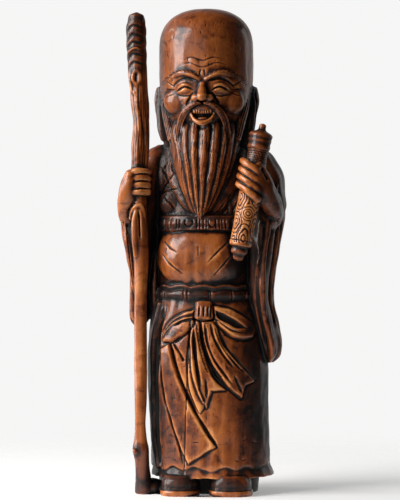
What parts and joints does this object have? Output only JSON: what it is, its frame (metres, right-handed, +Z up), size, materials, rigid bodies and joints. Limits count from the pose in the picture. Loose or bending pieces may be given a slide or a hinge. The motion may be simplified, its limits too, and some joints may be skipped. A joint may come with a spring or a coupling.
{
  "type": "carved wooden statue",
  "caption": "Standing wooden figure of a laughing, bald, long-bearded star god in a belted robe, with a root staff in his right hand and a rolled scroll in his left.",
  "frame": {"origin": "on the ground under the robe's axis, in the plane of the underside", "axes": "+Z up the figure, -Y the way it faces, +X to its own left, where the scroll is"},
  "size_m": [0.105, 0.0741, 0.3001],
  "materials": {
    "stained_wood": "dark stained and lacquered hardwood, rubbed to orange brown on the raised edges and nearly black in the cuts"
  },
  "bodies": {
    "root": {"carved_figure": "stained_wood"}
  },
  "joints": []
}
